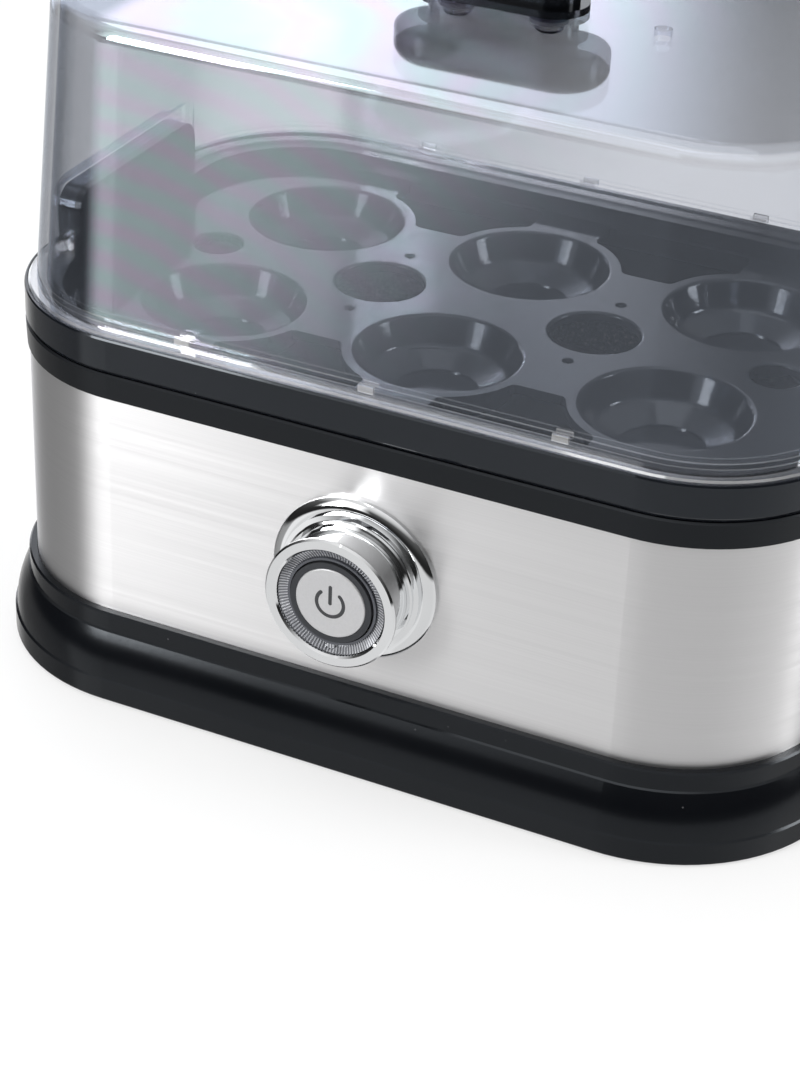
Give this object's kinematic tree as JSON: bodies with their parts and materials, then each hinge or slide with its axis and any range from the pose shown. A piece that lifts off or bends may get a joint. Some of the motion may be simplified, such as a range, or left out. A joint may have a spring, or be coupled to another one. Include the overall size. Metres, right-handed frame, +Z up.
{
  "type": "electric egg cooker",
  "caption": "Electric egg cooker with a brushed steel body on a flared black base, an egg tray with round cups, a clear lid with a grip and an illuminated push button on the front",
  "frame": {"origin": "on the table, under the middle of the body", "axes": "+X along the long side, -Y out of the front where the button is, +Z up"},
  "size_m": [0.1934, 0.1438, 0.1636],
  "materials": {
    "base_casing": "black moulded plastic, polished",
    "bottom_plate": "black moulded plastic, fine grain",
    "bottom_screws": "zinc plated",
    "rubber_feet": "soft black rubber",
    "steel_band": "stainless steel, brushed lengthwise",
    "top_collar": "black moulded plastic, polished",
    "dish_gasket": "grey silicone",
    "heating_dish": "pressed, dark non-stick face",
    "dish_nuts": "zinc plated",
    "heating_element": "extruded tube",
    "thermostat": "pressed steel can",
    "thermostat_screws": "zinc plated",
    "thermal_fuse": "white sleeve",
    "egg_tray": "black moulded plastic, polished",
    "lid_shell": "clear moulded plastic",
    "lid_handle": "black moulded plastic, polished",
    "handle_washers": "grey silicone",
    "handle_screws": "stainless steel",
    "button_bezel": "bright chrome",
    "button_housing": "bright chrome",
    "housing_nut": "zinc plated",
    "light_ring": "clear moulded plastic, fine radial lines",
    "lamp_board": "green circuit board",
    "lamps": "small white lamps",
    "button_stem": "black moulded plastic",
    "button_cap": "satin silver with a dark power symbol",
    "cap_ring": "charcoal plastic",
    "return_spring": "spring wire",
    "push_switch": "black switch case",
    "switch_bracket": "bent sheet",
    "bracket_screws": "zinc plated",
    "cord_gland": "black moulded plastic",
    "gland_nut": "black moulded plastic",
    "terminal_block": "ivory moulded plastic",
    "block_screws": "plain brass",
    "lead_wires": "light heat-proof sleeve"
  },
  "bodies": {
    "cooker_base": {"base_casing": "base_casing", "bottom_plate": "bottom_plate", "bottom_screws": "bottom_screws", "rubber_feet": "rubber_feet", "steel_band": "steel_band", "top_collar": "top_collar", "dish_gasket": "dish_gasket", "heating_dish": "heating_dish", "dish_nuts": "dish_nuts", "heating_element": "heating_element", "thermostat": "thermostat", "thermostat_screws": "thermostat_screws", "thermal_fuse": "thermal_fuse", "button_bezel": "button_bezel", "button_housing": "button_housing", "housing_nut": "housing_nut", "light_ring": "light_ring", "lamp_board": "lamp_board", "lamps": "lamps", "return_spring": "return_spring", "push_switch": "push_switch", "switch_bracket": "switch_bracket", "bracket_screws": "bracket_screws", "cord_gland": "cord_gland", "gland_nut": "gland_nut", "terminal_block": "terminal_block", "block_screws": "block_screws", "lead_wires": "lead_wires"},
    "button": {"button_stem": "button_stem", "button_cap": "button_cap", "cap_ring": "cap_ring"},
    "tray": {"egg_tray": "egg_tray"},
    "lid": {"lid_shell": "lid_shell", "lid_handle": "lid_handle", "handle_washers": "handle_washers", "handle_screws": "handle_screws"}
  },
  "joints": [
    {"name": "button_press", "type": "slide", "parent": "cooker_base", "child": "button", "axis": [0, 1, 0], "range_m": [0, 0.0025], "stiffness_N_per_m": 800, "springref_m": -0.002, "deforming": ["return_spring"]},
    {"name": "tray_lift", "type": "slide", "parent": "cooker_base", "child": "tray", "axis": [0, 0, 1], "range_m": [0, 0.06]},
    {"name": "lid_lift", "type": "slide", "parent": "tray", "child": "lid", "axis": [0, 0, 1], "range_m": [0, 0.1]}
  ]
}
